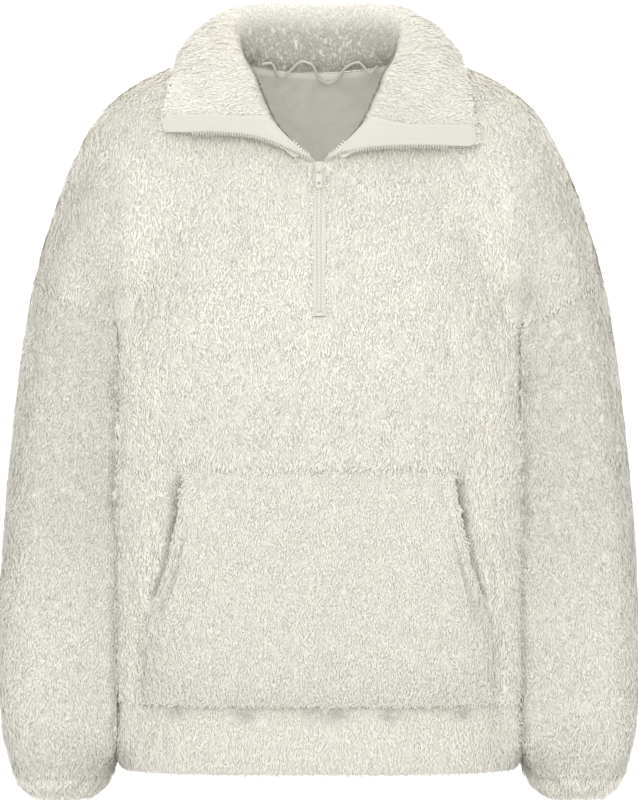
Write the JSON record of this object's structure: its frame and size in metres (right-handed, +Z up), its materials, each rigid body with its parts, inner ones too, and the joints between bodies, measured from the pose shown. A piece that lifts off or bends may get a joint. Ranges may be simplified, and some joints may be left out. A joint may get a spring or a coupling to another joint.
{
  "type": "sherpa fleece pullover",
  "caption": "Half-zip sherpa fleece pullover, filled out as worn, with an open collar, drop shoulders and a kangaroo pocket; it keeps a person's upper body warm.",
  "frame": {"origin": "between the shoulders, on the middle plane, 20 mm below the neck ends of the shoulder seams, where the wearer's shoulders hold it up", "axes": "+Z up, -Y out of the front, +X towards the wearer's left sleeve"},
  "size_m": [0.6368, 0.2944, 0.7943],
  "materials": {
    "fleece": "cream sherpa pile, matt, combed downwards",
    "sleeve_fleece": "cream sherpa pile, matt",
    "pocket_fleece": "cream sherpa pile, matt, combed downwards",
    "band_fleece": "cream sherpa pile gathered on elastic, matt",
    "collar_fleece": "cream sherpa pile, matt, combed sideways",
    "zip_tape": "smooth woven tape, satin",
    "zip_plastic": "moulded cream plastic, semi-matt",
    "piping": "fine brushed binding, matt"
  },
  "bodies": {
    "pullover": {"front": "fleece", "back": "fleece", "pocket": "pocket_fleece", "sleeve_left": "sleeve_fleece", "sleeve_right": "sleeve_fleece", "cuff_left": "band_fleece", "cuff_right": "band_fleece", "hem_band": "band_fleece", "collar": "collar_fleece", "zip_tape_left": "zip_tape", "zip_tape_right": "zip_tape", "zip_tape_closed": "zip_tape", "zip_teeth_left": "zip_plastic", "zip_teeth_right": "zip_plastic", "zip_chain": "zip_plastic", "zip_bottom_stop": "zip_plastic", "slider": "zip_plastic", "neck_seam_piping": "piping"},
    "pull": {"pull_tab": "zip_plastic"}
  },
  "joints": [
    {"name": "pull_swing", "type": "hinge", "parent": "pullover", "child": "pull", "pos_m": [0, -0.1209, -0.1015], "axis": [-1, 0, 0], "range_deg": [0, 150]}
  ]
}
